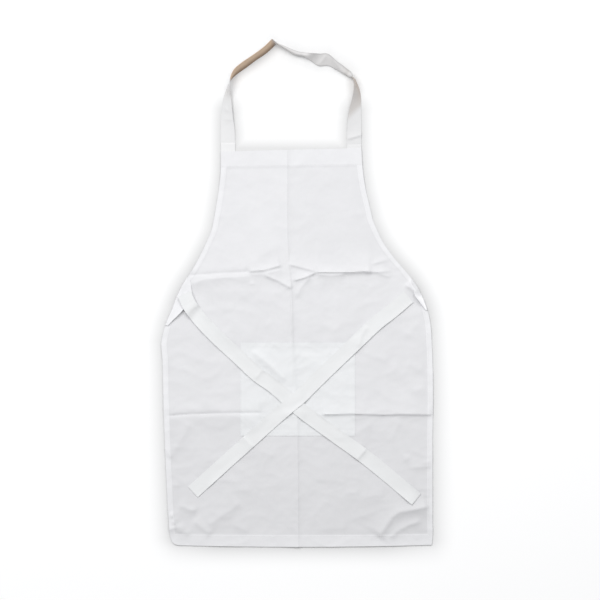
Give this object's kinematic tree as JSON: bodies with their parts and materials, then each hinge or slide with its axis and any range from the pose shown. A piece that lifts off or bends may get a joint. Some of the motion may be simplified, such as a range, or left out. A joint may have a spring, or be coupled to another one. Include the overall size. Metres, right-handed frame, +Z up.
{
  "type": "bib apron",
  "caption": "White cotton bib apron lying flat with its front up, a neck loop above the bib, a patch pocket, and waist ties laid crossed over the skirt.",
  "frame": {"origin": "middle of the whole outline as it lies, on the table's surface", "axes": "+Z up out of the apron's front, +Y from the hem towards the neck, +X to the right as seen from above"},
  "size_m": [0.61, 1.142, 0.0325],
  "materials": {
    "panel_cotton": "plain-weave white cotton, pressed, matt",
    "pocket_cotton": "the same cotton over the panel, so whiter, matt",
    "strap_cotton": "doubled cotton tape, tan on one stretch of its back, matt",
    "tie_cotton": "doubled cotton tape with stitched edges, matt"
  },
  "bodies": {
    "root": {"panel": "panel_cotton", "pocket": "pocket_cotton", "neck_strap": "strap_cotton", "waist_tie_left": "tie_cotton", "waist_tie_right": "tie_cotton"}
  },
  "joints": []
}
